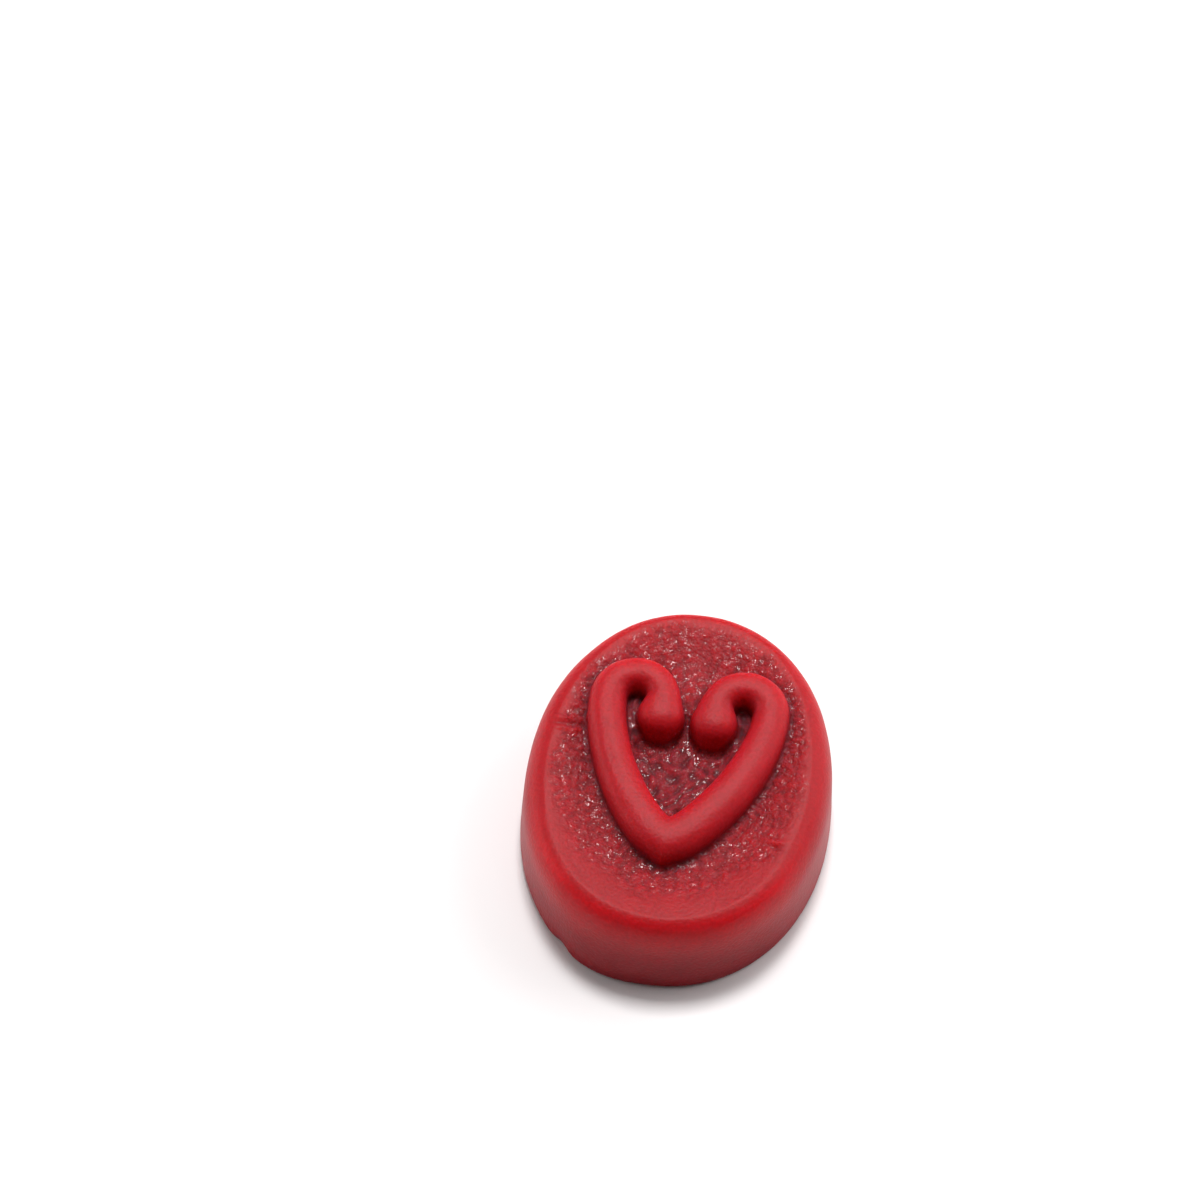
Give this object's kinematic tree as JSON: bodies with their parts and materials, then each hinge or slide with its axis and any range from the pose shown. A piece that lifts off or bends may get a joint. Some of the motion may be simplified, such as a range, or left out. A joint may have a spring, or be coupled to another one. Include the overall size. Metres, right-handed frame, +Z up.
{
  "type": "licorice medallion",
  "caption": "Moulded oval licorice sweet with leaning satin walls, a rounded rim, a dished face and a raised scroll heart with ball ends.",
  "frame": {"origin": "middle of the flat base, on the surface that the sweet lies on", "axes": "+Z up through the raised face, +Y along the oval's long axis with the heart's point towards -Y, +X across the oval"},
  "size_m": [0.0216, 0.0276, 0.0078],
  "materials": {
    "licorice": "satin, with a glossier rim and bead and a leathery grain on the dished face"
  },
  "bodies": {
    "root": {"licorice_medallion": "licorice"}
  },
  "joints": []
}
